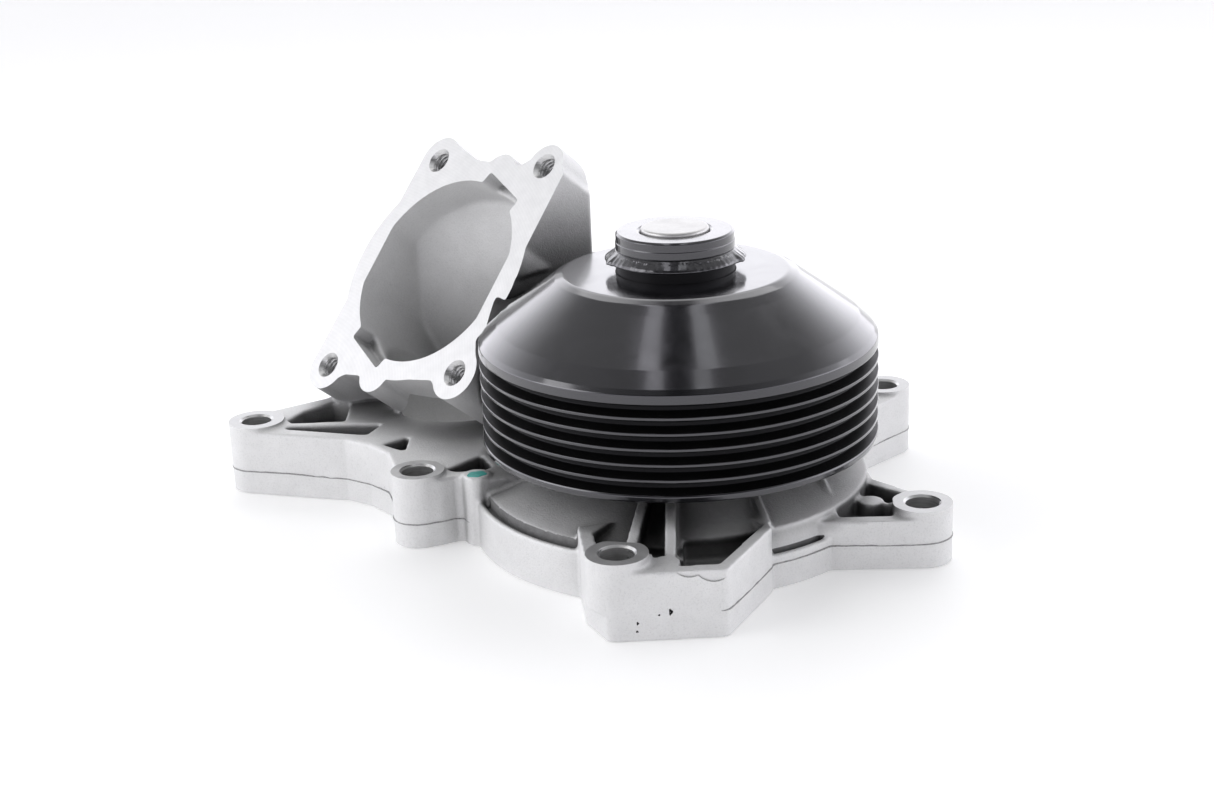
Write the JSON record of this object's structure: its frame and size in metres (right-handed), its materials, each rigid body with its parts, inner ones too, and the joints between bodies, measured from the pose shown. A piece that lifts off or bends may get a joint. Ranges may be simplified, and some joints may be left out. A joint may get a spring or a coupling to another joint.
{
  "type": "water pump",
  "caption": "Belt-driven coolant pump: cast housing with a tilted thermostat flange, ribbed pulley on a sealed bearing shaft, face seal and vaned impeller.",
  "frame": {"origin": "on the shaft axis, in the plane of the housing's mounting face", "axes": "+Z along the shaft from the impeller towards the pulley; +X towards the right-hand arms with the thermostat flange on the left"},
  "size_m": [0.1774, 0.1496, 0.0836],
  "materials": {
    "cast_alloy": "as-cast, sand-grained, with machined faces",
    "black_coat": "glossy black electro-coat",
    "hub_coat": "black electro-coat over turned steel",
    "shaft_steel": "ground",
    "bearing_steel": "ground",
    "cage_nylon": "moulded",
    "seal_rubber": "moulded",
    "seal_brass": "drawn",
    "spring_steel": "drawn",
    "seal_carbon": "lapped",
    "seal_ceramic": "lapped",
    "impeller_resin": "moulded, glass-filled"
  },
  "bodies": {
    "pump_housing": {"housing": "cast_alloy", "chamber_gasket": "seal_rubber", "port_gasket": "seal_rubber", "bearing_outer_ring": "bearing_steel", "upper_bearing_shield": "seal_rubber", "lower_bearing_shield": "seal_rubber", "seal_cup": "seal_brass", "seal_bellows": "seal_rubber", "seal_spring": "spring_steel"},
    "rotor": {"pump_shaft": "shaft_steel", "pulley_hub": "hub_coat", "hub_weld_collar": "hub_coat", "pulley": "black_coat", "impeller": "impeller_resin", "impeller_insert": "seal_brass", "seal_seat_ring": "seal_ceramic", "seal_seat_boot": "seal_rubber", "shaft_slinger": "spring_steel"},
    "upper_ball_set": {"upper_bearing_balls": "bearing_steel", "upper_ball_cage": "cage_nylon"},
    "lower_ball_set": {"lower_bearing_balls": "bearing_steel", "lower_ball_cage": "cage_nylon"},
    "carbon_ring": {"seal_carbon_ring": "seal_carbon"}
  },
  "joints": [
    {"name": "rotor_spin", "type": "hinge", "parent": "pump_housing", "child": "rotor", "pos_m": [0, 0, 0.03], "axis": [0, 0, 1], "continuous": true},
    {"name": "upper_balls_orbit", "type": "hinge", "parent": "pump_housing", "child": "upper_ball_set", "pos_m": [0, 0, 0.0495], "axis": [0, 0, 1], "continuous": true},
    {"name": "lower_balls_orbit", "type": "hinge", "parent": "pump_housing", "child": "lower_ball_set", "pos_m": [0, 0, 0.0345], "axis": [0, 0, 1], "continuous": true},
    {"name": "seal_face_float", "type": "slide", "parent": "pump_housing", "child": "carbon_ring", "axis": [0, 0, 1], "range_m": [0, 0.0006], "stiffness_N_per_m": 4000, "springref_m": -0.002}
  ],
  "couplings": [
    {"joint": "upper_balls_orbit", "follows": "rotor_spin", "ratio": 0.3611},
    {"joint": "lower_balls_orbit", "follows": "rotor_spin", "ratio": 0.3611}
  ]
}
